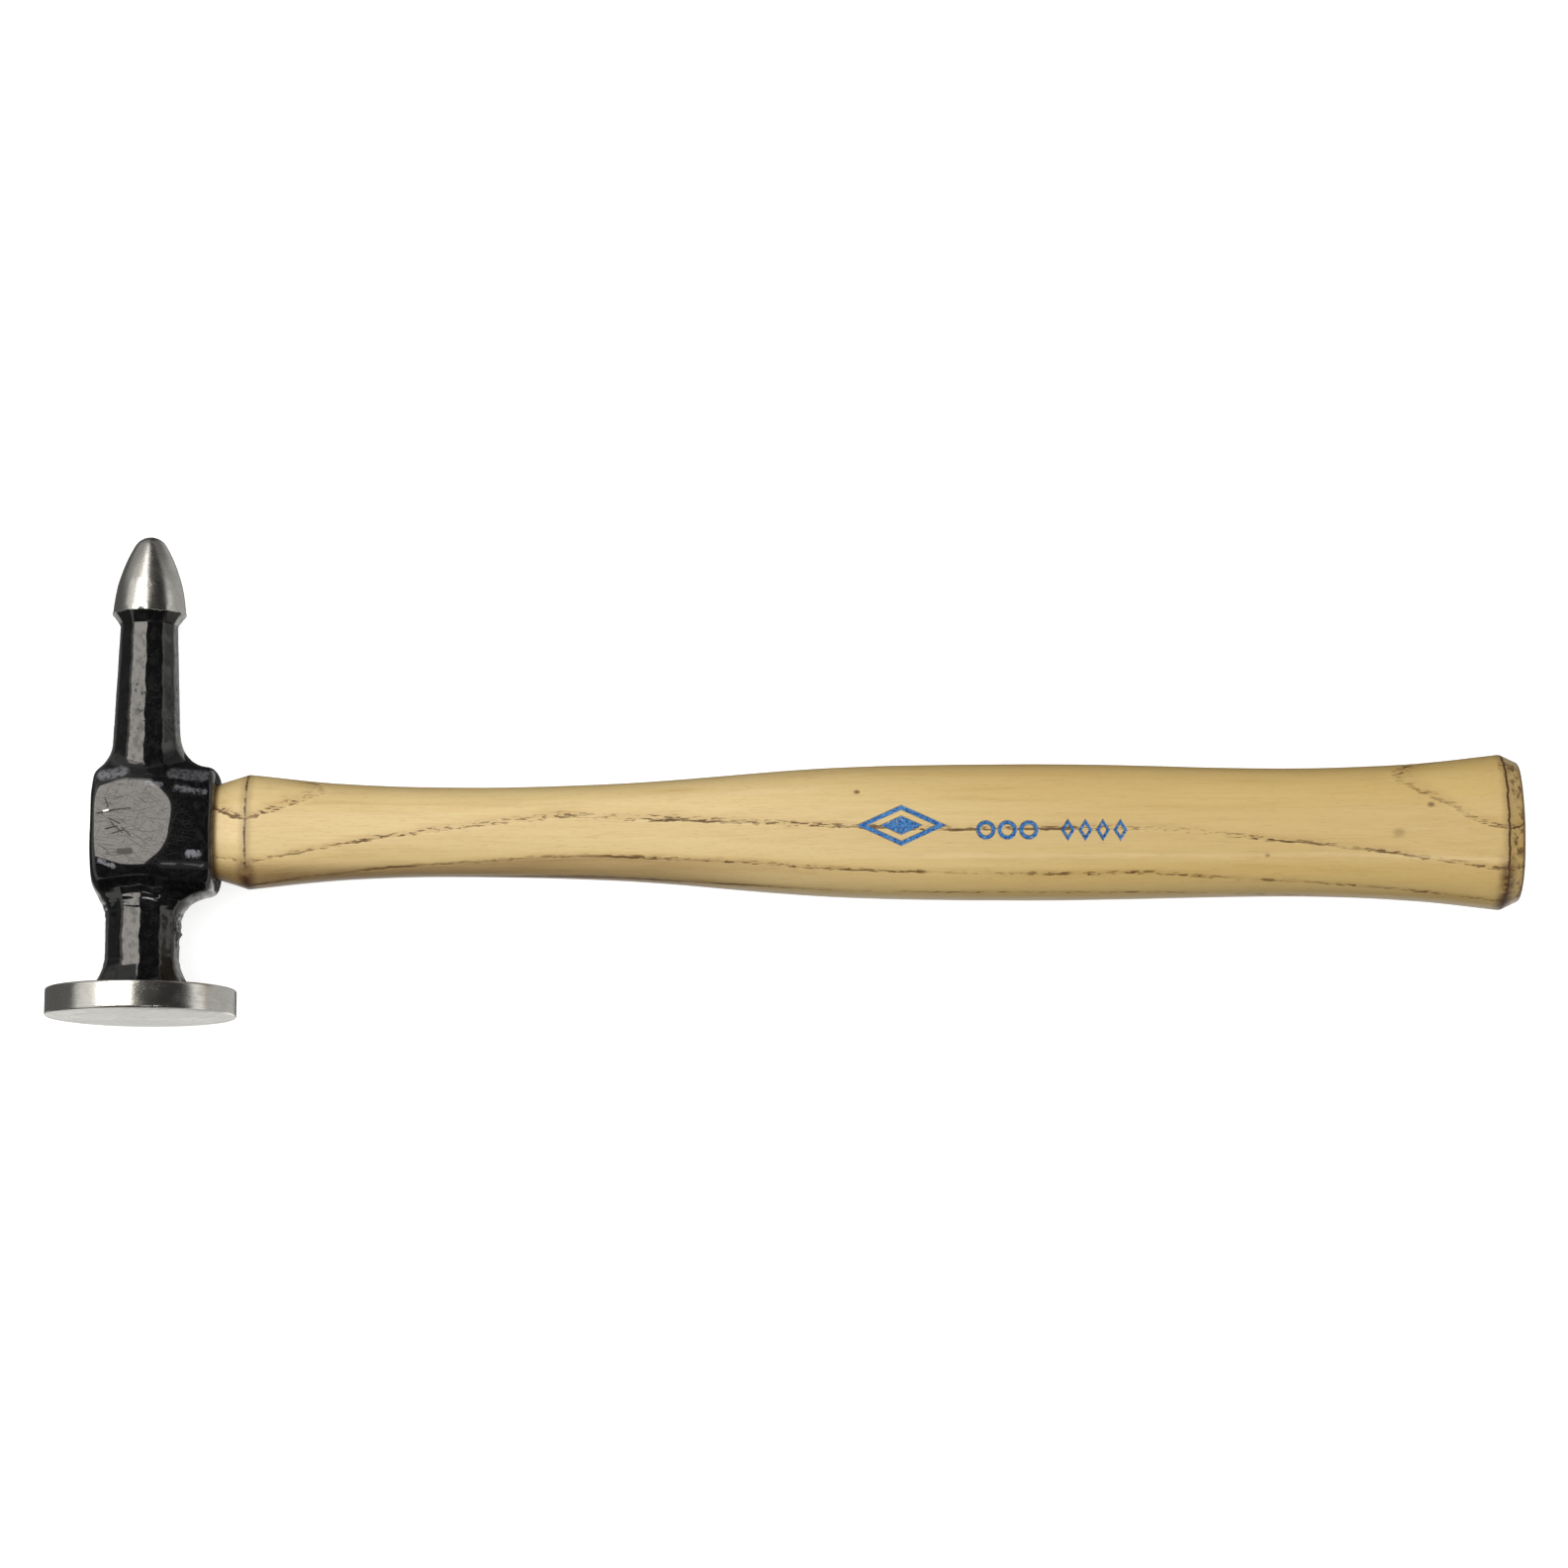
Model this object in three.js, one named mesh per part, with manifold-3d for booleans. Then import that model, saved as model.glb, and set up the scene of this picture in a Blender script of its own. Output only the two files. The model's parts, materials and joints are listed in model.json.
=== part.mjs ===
// Panel-beating hammer: a forged steel head with a thin round striking face at one end and a
// bullet point at the other, hung on an oval ash handle and held in its eye by three wedges.
//
// The pieces are drawn in the hammer's own axes, in millimetres, with the origin where the
// handle's centre line crosses the head's: X runs along the handle to the butt, Y along the
// head to the point, and Z out of the cheek. The whole hammer is then laid on a bench, on the
// rim of its face, its point and its butt.

import * as THREE from 'three';
import { mergeVertices } from 'three/addons/utils/BufferGeometryUtils.js';
import Module from 'manifold-3d';

// Striking face, a thin disc at the negative end of Y.
const faceDiameter = 39.1;
const faceThickness = 6;
const faceToEye = 38.8;
const faceFlatDiameter = 30;
const faceCrown = 0.3;
const faceEdgeBreak = 0.5;

// Neck and shank, twelve-sided with soft corners.
const neckDiameter = 14.8;
const neckFlareLength = 7.2;
const neckFlareRise = 2.8;
const shankDiameterAtPoint = 11.6;
const shankTaper = 0.04;
const rodSides = 12;
const rodCornerHardness = 90;

// Bullet point.
const pointDiameter = 15;
const pointToEye = 62.4;
const pointLandLength = 0.9;
const pointTipRadius = 3.8;
const pointSideRadius = 34;
const pointSideLean = 0.08;
const pointCollarLength = 2.5;
const collarCurve = 1.3;

// Eye block, a short oval barrel around the handle's centre line. Its walls are measured from
// the eye's mouth, along the head and across the cheeks.
const eyeWallAlongHead = 3;
const eyeWallAtCheek = 4.5;
const cheekGroundOff = 1;
const blockCrown = 2.3;
const blockSquareness = 3.3;
const blockHandleSide = 15.1;
const blockOuterSide = 9.8;
const blockEdgeBreak = 1.2;
const cheekEdgeBreak = 0.3;
const shoulderFilletHandleSide = 9.5;
const shoulderFilletOuterSide = 5.5;
const shoulderFilletNarrowing = 0.7;

// Handle. Its sections are given as height along the head by thickness across the cheeks, and
// those between the two ridges by their share of the way from one to the other.
const mouthHeight = 19.6;
const mouthThickness = 14.4;
const ridgeToMouth = 6.7;
const ridgeHeight = 23.8;
const ridgeThickness = 17.6;
const ridgeToRidge = 259.1;
const necking = { share: 0.07, height: 20.1, thickness: 16.2 };
const waist = { share: 0.155, height: 18.6, thickness: 15.6 };
const swellStart = { share: 0.298, height: 20.2, thickness: 16.8 };
const swell = { share: 0.464, height: 26.7, thickness: 20.4 };
const grip = { share: 0.626, height: 28.3, thickness: 21.6 };
const back = { share: 0.842, height: 26.6, thickness: 20.6 };
const flare = { share: 0.935, height: 28.6, thickness: 22 };
const buttRidgeHeight = 32.3;
const buttRidgeThickness = 24.6;
const buttChamferLength = 3.6;
const buttChamferDepth = 1.7;
const handleSquareness = 2.25;

// Eye, tenon and wedges.
const eyeWaistNarrowing = 0.4;
const eyeOuterWidening = 0.5;
const tenonClearance = 0.3;
const tenonRecess = 0.4;
const kerfDepth = 20;
const kerfWidthOutside = 3.8;
const kerfWidthInside = 1.7;
const wedgeClearance = 0.3;
const woodWedgeLength = 17;
const steelWedgeLength = 9;
const steelWedgeWidth = 8;
const steelWedgeThickness = 2;
const steelWedgeEdge = 0.6;
const steelWedgeSpacing = 8.4;
const steelWedgeCount = 2;

// Fineness of the solids: points round a ring, and steps from ring to ring.
const headSegments = 48;
const ovalSegments = 32;
const crownSteps = 3;
const edgeSteps = 3;
const neckFlareSteps = 5;
const shoulderSteps = 6;
const blockSteps = 16;
const shankSteps = 3;
const bulletSideSteps = 7;
const bulletTipSteps = 7;
const eyeSteps = 6;
const gripSteps = 26;
const tipLastTurn = 0.47 * Math.PI;
const weldDistance = 1e-4;
const halvings = 40;
const overcut = 2;

const faceRadius = faceDiameter / 2;
const faceY = -faceToEye;
const faceBackY = faceY + faceThickness;
const blockHeight = mouthHeight + 2 * (tenonClearance + eyeWallAlongHead);
const blockThickness = mouthThickness + 2 * (tenonClearance + eyeWallAtCheek);
const cheekHalfDistance = blockThickness / 2 - cheekGroundOff;
const pointBaseY = pointToEye - bulletLength();
const shankTopY = pointBaseY - pointCollarLength;
const ridgeToEye = blockHandleSide + ridgeToMouth;
const buttRidgeToEye = ridgeToEye + ridgeToRidge;
const tenonEnd = -blockOuterSide + tenonRecess;

const wasm = await Module();
wasm.setup();

// ---------- Helpers ----------

function spread(from, to, steps, ease = (t) => t) {
  return Array.from({ length: steps + 1 }, (_, i) => from + (to - from) * ease(i / steps));
}

const easeBothEnds = (t) => (1 - Math.cos(Math.PI * t)) / 2;
const easeFirstEnd = (t) => t * t;
const easeLastEnd = (t) => 1 - easeFirstEnd(1 - t);

// Where a steadily changing function passes through zero.
function solve(value, low, high) {
  const rising = value(high) > value(low);
  for (let step = 0; step < halvings; step += 1) {
    const middle = (low + high) / 2;
    if ((value(middle) > 0) === rising) {
      high = middle;
    } else {
      low = middle;
    }
  }
  return (low + high) / 2;
}

// The larger of two distances, with the corner between them rounded.
function roundedMax(a, b, size) {
  const overlap = Math.max(size - Math.abs(a - b), 0);
  return Math.max(a, b) + (overlap * overlap) / (4 * size);
}

// The smaller of two distances, with the corner between them filleted.
function filletedMin(a, b, size) {
  return -roundedMax(-a, -b, size);
}

// A closed skin through rings of the same number of points, the first and last ones capped.
function skin(rings) {
  const count = rings[0].length;
  const positions = rings.flat().flatMap((p) => [p.x, p.y, p.z]);
  const faces = [];
  for (let ring = 0; ring < rings.length - 1; ring += 1) {
    for (let i = 0; i < count; i += 1) {
      const a = ring * count + i;
      const b = ring * count + (i + 1) % count;
      faces.push(a, b, a + count, b, b + count, a + count);
    }
  }
  const last = (rings.length - 1) * count;
  for (let i = 1; i < count - 1; i += 1) {
    faces.push(0, i + 1, i, last, last + i, last + i + 1);
  }
  const geometry = new THREE.BufferGeometry();
  geometry.setAttribute('position', new THREE.Float32BufferAttribute(positions, 3));
  geometry.setIndex(faces);
  return geometry;
}

function toSolid(geometry) {
  const bare = geometry.clone();
  bare.deleteAttribute('normal');
  bare.deleteAttribute('uv');
  const merged = mergeVertices(bare, weldDistance);
  return new wasm.Manifold(new wasm.Mesh({
    numProp: 3,
    vertProperties: new Float32Array(merged.attributes.position.array),
    triVerts: new Uint32Array(merged.index.array),
  }));
}

function toGeometry(solid) {
  const mesh = solid.getMesh();
  const geometry = new THREE.BufferGeometry();
  geometry.setAttribute('position', new THREE.BufferAttribute(mesh.vertProperties, 3));
  geometry.setIndex(new THREE.BufferAttribute(mesh.triVerts, 1));
  geometry.computeVertexNormals();
  return geometry;
}

// ---------- Head ----------

// Length of the bullet from its base to the tip: a land, a long side arc and a round tip.
function bulletLength() {
  return pointLandLength + bulletTipCentre() + pointTipRadius;
}

function bulletSideCentre() {
  const lean = Math.atan(pointSideLean);
  return {
    along: -pointSideRadius * Math.sin(lean),
    out: pointDiameter / 2 - pointSideRadius * Math.cos(lean),
  };
}

// The tip's ball sits on the axis and touches the side arc from within.
function bulletTipCentre() {
  const side = bulletSideCentre();
  const reach = pointSideRadius - pointTipRadius;
  return side.along + Math.sqrt(reach * reach - side.out * side.out);
}

// Radius of the bullet at a distance past its land.
function bulletRadius(along) {
  const side = bulletSideCentre();
  const tip = bulletTipCentre();
  const reach = pointSideRadius / (pointSideRadius - pointTipRadius);
  const touch = side.along + (tip - side.along) * reach;
  if (along < touch) {
    return side.out + Math.sqrt(pointSideRadius ** 2 - (along - side.along) ** 2);
  }
  return Math.sqrt(Math.max(pointTipRadius ** 2 - (along - tip) ** 2, 0));
}

// Radius across the flats of the neck, shank and collar at a place along the head.
function rodRadius(y) {
  if (y < 0) {
    const flare = Math.max(1 - (y - faceBackY) / neckFlareLength, 0);
    return neckDiameter / 2 + neckFlareRise * flare * flare;
  }
  const collar = Math.max(1 - (pointBaseY - y) / pointCollarLength, 0);
  const shank = shankDiameterAtPoint / 2 + shankTaper * Math.max(shankTopY - y, 0);
  return shank + (pointDiameter / 2 - shank) * collar ** collarCurve;
}

// Signed distance, near enough, to the twelve-sided rod.
function rodField(x, y, z) {
  const flats = spread(0, Math.PI, rodSides / 2).slice(0, -1);
  const sum = flats.reduce((total, angle) => {
    const across = Math.abs(x * Math.cos(angle) + z * Math.sin(angle));
    return total + (across / Math.hypot(x, z)) ** rodCornerHardness;
  }, 0);
  return Math.hypot(x, z) * sum ** (1 / rodCornerHardness) - rodRadius(y);
}

// Signed distance, near enough, to the eye block before its ends are faced.
function blockField(x, y, z) {
  const halfThickness = blockThickness / 2 - blockCrown * (x / blockHandleSide) ** 2;
  const oval = (Math.abs(2 * y / blockHeight) ** blockSquareness
    + Math.abs(z / halfThickness) ** blockSquareness) ** (1 / blockSquareness);
  return (oval - 1) * blockHeight / 2;
}

// The shoulders are filleted more generously towards the handle, and less under the cheeks.
function shoulderFillet(x, z) {
  const across = (x + blockOuterSide) / (blockHandleSide + blockOuterSide);
  const inPlane = THREE.MathUtils.lerp(
    shoulderFilletOuterSide,
    shoulderFilletHandleSide,
    THREE.MathUtils.clamp(across, 0, 1),
  );
  return inPlane * (1 - shoulderFilletNarrowing * (z / Math.hypot(x, z)) ** 2);
}

function forgingField(x, y, z) {
  const joined = filletedMin(rodField(x, y, z), blockField(x, y, z), shoulderFillet(x, z));
  const ends = Math.max(x - blockHandleSide, -blockOuterSide - x);
  const faced = Math.abs(y) < blockHeight ? roundedMax(joined, ends, blockEdgeBreak) : joined;
  return roundedMax(faced, Math.abs(z) - cheekHalfDistance, cheekEdgeBreak);
}

function headRing(y, radiusAt) {
  return spread(0, 2 * Math.PI, headSegments).slice(0, -1).map((angle) => {
    const radius = radiusAt(angle);
    return new THREE.Vector3(radius * Math.cos(angle), y, -radius * Math.sin(angle));
  });
}

function forgedRing(y) {
  return headRing(y, (angle) => {
    const outward = (r) => forgingField(r * Math.cos(angle), y, -r * Math.sin(angle));
    return solve(outward, 1, blockHandleSide + blockThickness);
  });
}

// The face's profile from its flat centre round the rim to the back.
function faceRings() {
  const flat = faceFlatDiameter / 2;
  const rim = faceRadius - faceEdgeBreak;
  const crown = spread(flat, rim, crownSteps).map((radius) => {
    const fall = faceCrown * ((radius - flat) / (rim - flat)) ** 2;
    return { y: faceY + fall, radius };
  });
  const breaks = spread(0, Math.PI / 2, edgeSteps);
  const front = breaks.map((turn) => ({
    y: faceY + faceCrown + faceEdgeBreak * (1 - Math.cos(turn)),
    radius: rim + faceEdgeBreak * Math.sin(turn),
  }));
  const back = breaks.map((turn) => ({
    y: faceBackY - faceEdgeBreak * (1 - Math.sin(turn)),
    radius: rim + faceEdgeBreak * Math.cos(turn),
  }));
  return [...crown, ...front.slice(1), ...back].map((at) => headRing(at.y, () => at.radius));
}

function forgedRings() {
  const top = blockHeight / 2;
  const shoulderEnd = top + shoulderFilletHandleSide;
  const stations = [
    ...spread(faceBackY, faceBackY + neckFlareLength, neckFlareSteps),
    ...spread(-shoulderEnd, -top, shoulderSteps, easeLastEnd),
    ...spread(-top, top, blockSteps, easeBothEnds).slice(1),
    ...spread(top, shoulderEnd, shoulderSteps, easeFirstEnd).slice(1),
    ...spread(shoulderEnd, shankTopY, shankSteps).slice(1),
    ...spread(shankTopY, pointBaseY, edgeSteps).slice(1),
  ];
  return stations.map(forgedRing);
}

function bulletRings() {
  const tip = bulletTipCentre();
  const landEnd = pointBaseY + pointLandLength;
  const side = spread(0, tip, bulletSideSteps);
  const turns = spread(0, tipLastTurn, bulletTipSteps).slice(1);
  const ball = turns.map((turn) => tip + pointTipRadius * Math.sin(turn));
  return [...side, ...ball].map((along) => headRing(landEnd + along, () => bulletRadius(along)));
}

function headSolid() {
  const outside = toSolid(skin([...faceRings(), ...forgedRings(), ...bulletRings()]));
  return outside.subtract(toSolid(skin(eyeRings())));
}

// ---------- Eye and handle ----------

function ovalRing(x, halfHeight, halfThickness) {
  const power = 2 / handleSquareness;
  return spread(0, 2 * Math.PI, ovalSegments).slice(0, -1).map((angle) => {
    const c = Math.cos(angle);
    const s = Math.sin(angle);
    return new THREE.Vector3(
      x,
      halfHeight * Math.sign(c) * Math.abs(c) ** power,
      halfThickness * Math.sign(s) * Math.abs(s) ** power,
    );
  });
}

// How much the eye stands wider than its mouth at a place along the handle.
function eyeWidening(x) {
  const middle = (blockHandleSide - blockOuterSide) / 2;
  const t = (x - middle) / (blockHandleSide - middle);
  const far = t < 0 ? eyeWaistNarrowing + eyeOuterWidening : eyeWaistNarrowing;
  return far * t * t - eyeWaistNarrowing;
}

function tenonRing(x, at, grow) {
  const wider = eyeWidening(x) + grow;
  return ovalRing(at, mouthHeight / 2 + wider, mouthThickness / 2 + wider);
}

// The eye is larger than the tenon by the clearance, and its cutter runs past both its ends.
function eyeRings() {
  const stations = spread(-blockOuterSide, blockHandleSide, eyeSteps);
  return [
    tenonRing(-blockOuterSide, -blockOuterSide - overcut, tenonClearance),
    ...stations.map((x) => tenonRing(x, x, tenonClearance)),
    tenonRing(blockHandleSide, blockHandleSide + overcut, tenonClearance),
  ];
}

function tenonRings() {
  return spread(tenonEnd, blockHandleSide, eyeSteps).map((x) => tenonRing(x, x, 0));
}

// The grip is one fair curve through its sections, from the ridge by the head to the butt's.
function gripRings() {
  const sections = [
    { share: 0, height: ridgeHeight, thickness: ridgeThickness },
    necking,
    waist,
    swellStart,
    swell,
    grip,
    back,
    flare,
    { share: 1, height: buttRidgeHeight, thickness: buttRidgeThickness },
  ];
  const curve = new THREE.CatmullRomCurve3(sections.map((section) => new THREE.Vector3(
    ridgeToEye + section.share * ridgeToRidge,
    section.height,
    section.thickness,
  )));
  return curve.getPoints(gripSteps).map((p) => ovalRing(p.x, p.y / 2, p.z / 2));
}

function buttRing() {
  return ovalRing(
    buttRidgeToEye + buttChamferLength,
    buttRidgeHeight / 2 - buttChamferDepth,
    buttRidgeThickness / 2 - buttChamferDepth,
  );
}

// A wedge-shaped block that narrows from the tenon's outer end inwards. Its width lies along
// one direction and its length along X; grow makes it larger on every side.
function taperedBlock(length, widthOutside, widthInside, span, grow, overrun) {
  const slope = (widthOutside - widthInside) / 2 / length;
  const outer = widthOutside / 2 + grow + slope * overrun;
  const inner = widthInside / 2 + grow;
  const outline = new THREE.Shape([
    new THREE.Vector2(tenonEnd - overrun, -outer),
    new THREE.Vector2(tenonEnd + length + grow, -inner),
    new THREE.Vector2(tenonEnd + length + grow, inner),
    new THREE.Vector2(tenonEnd - overrun, outer),
  ]);
  const depth = span + 2 * grow;
  const geometry = new THREE.ExtrudeGeometry(outline, { depth, bevelEnabled: false });
  return geometry.translate(0, 0, -depth / 2);
}

// The long wedge lies on edge, so that it splits the tenon along the head.
function kerfBlock(length, grow, overrun) {
  const widthInside = kerfWidthOutside
    - (kerfWidthOutside - kerfWidthInside) * length / kerfDepth;
  const narrow = taperedBlock(
    length,
    kerfWidthOutside,
    widthInside,
    2 * blockHeight,
    grow,
    overrun,
  );
  return toSolid(narrow.rotateX(Math.PI / 2));
}

function steelWedgeBlock(index, grow, overrun) {
  const block = taperedBlock(
    steelWedgeLength,
    steelWedgeThickness,
    steelWedgeEdge,
    steelWedgeWidth,
    grow,
    overrun,
  );
  const place = (index - (steelWedgeCount - 1) / 2) * steelWedgeSpacing;
  return toSolid(block.translate(0, place, 0));
}

const steelWedgeNumbers = Array.from({ length: steelWedgeCount }, (_, i) => i);

function cutForSteelWedges(solid) {
  return steelWedgeNumbers.reduce(
    (rest, i) => rest.subtract(steelWedgeBlock(i, wedgeClearance, overcut)),
    solid,
  );
}

function handleSolid() {
  const blank = toSolid(skin([...tenonRings(), ...gripRings(), buttRing()]));
  return cutForSteelWedges(blank.subtract(kerfBlock(kerfDepth, 0, overcut)));
}

function woodWedgeSolid() {
  const blank = toSolid(skin(tenonRings()));
  const blade = kerfBlock(woodWedgeLength, -wedgeClearance, 0);
  return cutForSteelWedges(blank.intersect(blade));
}

// ---------- Assembly ----------

const blackLacquer = { color: 0x101114, roughness: 0.25, metalness: 0.1 };
const lacqueredAsh = { color: 0xc9a566, roughness: 0.35, metalness: 0 };
const bareBeech = { color: 0xb98f5a, roughness: 0.6, metalness: 0 };
const brightSteel = { color: 0x9a9a98, roughness: 0.35, metalness: 1 };

const hammer = new THREE.Group();

function addPiece(name, solid, finish) {
  const mesh = new THREE.Mesh(toGeometry(solid), new THREE.MeshStandardMaterial(finish));
  mesh.name = name;
  hammer.add(mesh);
}

addPiece('head', headSolid(), blackLacquer);
addPiece('handle', handleSolid(), lacqueredAsh);
addPiece('wood_wedge', woodWedgeSolid(), bareBeech);
steelWedgeNumbers.forEach((i) => {
  addPiece(`steel_wedge_${i + 1}`, steelWedgeBlock(i, 0, 0), brightSteel);
});

// ---------- The hammer lying on a bench ----------

function pointsOf(mesh) {
  const position = mesh.geometry.attributes.position;
  return Array.from({ length: position.count }, (_, i) => (
    new THREE.Vector3().fromBufferAttribute(position, i)));
}

function lowest(points, turn) {
  return points.reduce((low, p) => Math.min(low, p.clone().applyMatrix4(turn).z), Infinity);
}

const headPoints = pointsOf(hammer.getObjectByName('head'));
const buttPoints = pointsOf(hammer.getObjectByName('handle')).filter((p) => p.x > buttRidgeToEye / 2);
const faceSide = headPoints.filter((p) => p.y < 0);
const pointSide = headPoints.filter((p) => p.y > 0);

const rolled = (roll) => new THREE.Matrix4().makeRotationX(roll);
const laid = (pitch, roll) => new THREE.Matrix4().makeRotationY(pitch).multiply(rolled(roll));
const steepest = Math.PI / 6;
const roll = solve(
  (angle) => lowest(faceSide, rolled(angle)) - lowest(pointSide, rolled(angle)),
  -steepest,
  steepest,
);
const pitch = solve(
  (angle) => lowest(headPoints, laid(angle, roll)) - lowest(buttPoints, laid(angle, roll)),
  -steepest,
  steepest,
);
hammer.applyMatrix4(laid(pitch, roll));

const part = new THREE.Group();
part.add(hammer);
part.updateMatrixWorld(true);
const box = new THREE.Box3().setFromObject(part, true);
const middle = box.getCenter(new THREE.Vector3());
part.position.set(-middle.x, -middle.y, -box.min.z);

export default part;
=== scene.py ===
import json
import math

import bmesh
import bpy
import numpy as np
from mathutils import Matrix, Vector, noise


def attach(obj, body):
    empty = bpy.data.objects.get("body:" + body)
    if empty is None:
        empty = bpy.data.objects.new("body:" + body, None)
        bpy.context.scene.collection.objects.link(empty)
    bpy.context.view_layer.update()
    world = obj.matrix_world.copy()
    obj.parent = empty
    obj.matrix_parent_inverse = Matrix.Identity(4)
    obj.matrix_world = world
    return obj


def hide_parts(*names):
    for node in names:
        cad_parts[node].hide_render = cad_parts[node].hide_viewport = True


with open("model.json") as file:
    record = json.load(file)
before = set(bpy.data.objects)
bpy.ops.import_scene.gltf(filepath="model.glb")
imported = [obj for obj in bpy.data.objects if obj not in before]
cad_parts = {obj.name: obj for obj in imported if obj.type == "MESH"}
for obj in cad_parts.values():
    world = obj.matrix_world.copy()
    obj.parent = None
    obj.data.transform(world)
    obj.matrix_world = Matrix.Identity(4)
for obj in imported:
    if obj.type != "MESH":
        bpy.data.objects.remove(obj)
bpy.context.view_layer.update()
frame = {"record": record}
print("frame loaded")

# The hammer's own axes, read from its mounts: X along the handle, Y along the head to the
# point, Z out of the cheek, from the middle of the eye. Pieces are drawn there in millimetres.
mm = 0.001
mounts = {mount["name"]: mount for mount in frame["record"]["mounts"]}
cheekPlaces = [Vector(mounts[name]["pos_m"]) for name in ("upper_cheek", "lower_cheek")]
alongHandle = Vector(mounts["butt_end"]["axis"]).normalized()
alongHead = -Vector(mounts["striking_face"]["axis"]).normalized()
outOfCheek = alongHandle.cross(alongHead).normalized()
eyeCentre = (cheekPlaces[0] + cheekPlaces[1]) / 2
hammerPlace = Matrix((alongHandle, alongHead, outOfCheek)).transposed().to_4x4()
hammerPlace.translation = eyeCentre
faceToEye = (eyeCentre - Vector(mounts["striking_face"]["pos_m"])).length / mm
buttToEye = (Vector(mounts["butt_end"]["pos_m"]) - eyeCentre).length / mm
cheekToEye = (cheekPlaces[0] - eyeCentre).length / mm


def spread(low, high, steps, ease=None):
    share = np.linspace(0.0, 1.0, steps + 1)
    if ease == "start":
        share = share ** 2
    if ease == "end":
        share = 1 - (1 - share) ** 2
    if ease == "both":
        share = (1 - np.cos(np.pi * share)) / 2
    return low + (high - low) * share


# The larger of two distances, with the corner between them rounded.
def roundedMax(a, b, size):
    overlap = np.maximum(size - np.abs(a - b), 0)
    return np.maximum(a, b) + overlap * overlap / (4 * size)


def filletedMin(a, b, size):
    return -roundedMax(-a, -b, size)


# Soft lumps between about -1 and 1, of one size in millimetres along each axis.
def lumps(points, size, seed):
    shift = Vector((seed * 7.3, seed * 3.1, seed * 5.7))
    scaled = points.reshape(-1, 3) / np.asarray(size, float)
    values = [noise.noise(Vector(place) + shift) for place in scaled.tolist()]
    return np.array(values).reshape(points.shape[:-1])


def hill(distance, width):
    return np.exp(-((distance / width) ** 2))


# A closed smooth skin through rings of points, as a new object in the hammer's axes.
def skin(name, rings):
    count, around = rings.shape[:2]
    ring = np.arange(count - 1)[:, None] * around
    here = np.arange(around)[None, :]
    after = (here + 1) % around
    corners = [ring + here, ring + around + here, ring + around + after, ring + after]
    quads = np.stack(corners, axis=-1).reshape(-1, 4).tolist()
    last = (count - 1) * around
    caps = [list(range(around)), list(range(last + around - 1, last - 1, -1))]
    mesh = bpy.data.meshes.new(name)
    mesh.from_pydata((rings.reshape(-1, 3) * mm).tolist(), [], quads + caps)
    work = bmesh.new()
    work.from_mesh(mesh)
    bmesh.ops.recalc_face_normals(work, faces=work.faces)
    if work.calc_volume(signed=True) < 0:
        bmesh.ops.reverse_faces(work, faces=work.faces)
    work.to_mesh(mesh)
    work.free()
    mesh.shade_smooth()
    piece = bpy.data.objects.new(name, mesh)
    bpy.context.scene.collection.objects.link(piece)
    return piece


# Cuts one piece with others and throws the others away.
def carve(piece, operation, cutters):
    for cutter in cutters:
        cut = piece.modifiers.new("cut", "BOOLEAN")
        cut.operation = operation
        cut.solver = "MANIFOLD"
        cut.object = cutter
    bpy.context.view_layer.update()
    depsgraph = bpy.context.evaluated_depsgraph_get()
    made = bpy.data.meshes.new_from_object(piece.evaluated_get(depsgraph))
    piece.modifiers.clear()
    piece.data = made
    for cutter in cutters:
        bpy.data.objects.remove(cutter)


def finishPiece(piece, node, material, sharpAngle):
    piece.data.set_sharp_from_angle(angle=math.radians(sharpAngle))
    piece.data.materials.clear()
    piece.data.materials.append(material)
    piece.data.transform(hammerPlace)
    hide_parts(node)
    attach(piece, "root")
    print(piece.name, "made,", len(piece.data.polygons), "faces")


# A shader value: sums, products and the rest are written as plain expressions.
class Wire:
    def __init__(self, paint, socket):
        self.paint = paint
        self.socket = socket

    def maths(self, operation, *others):
        values = dict(enumerate((self, *others)))
        return self.paint.node("ShaderNodeMath", {"operation": operation}, values)

    def __add__(self, other):
        return self.maths("ADD", other)

    def __sub__(self, other):
        return self.maths("SUBTRACT", other)

    def __mul__(self, other):
        return self.maths("MULTIPLY", other)

    def __truediv__(self, other):
        return self.maths("DIVIDE", other)

    def __pow__(self, other):
        return self.maths("POWER", other)

    def __abs__(self):
        return self.maths("ABSOLUTE")

    def __rsub__(self, other):
        return self.maths("MULTIPLY_ADD", -1.0, other)

    __radd__ = __add__
    __rmul__ = __mul__

    def least(self, other):
        return self.maths("MINIMUM", other)

    def most(self, other):
        return self.maths("MAXIMUM", other)

    def fraction(self):
        return self.maths("FRACT")

    # 0 at low, 1 at high and smooth between; low may be the larger one.
    def step(self, low, high):
        values = {"Value": self, "From Min": low, "From Max": high}
        settings = {"interpolation_type": "SMOOTHSTEP"}
        return self.paint.node("ShaderNodeMapRange", settings, values)

    def between(self, low, high, edge):
        return self.step(low, low + edge) * self.step(high, high - edge)

    def blend(self, a, b):
        values = {"Factor": self, 2: a, 3: b}
        return self.paint.node("ShaderNodeMix", {"data_type": "FLOAT"}, values)

    def colours(self, a, b):
        values = {"Factor": self, 6: a, 7: b}
        return self.paint.node("ShaderNodeMix", {"data_type": "RGBA"}, values, output=2)


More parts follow.
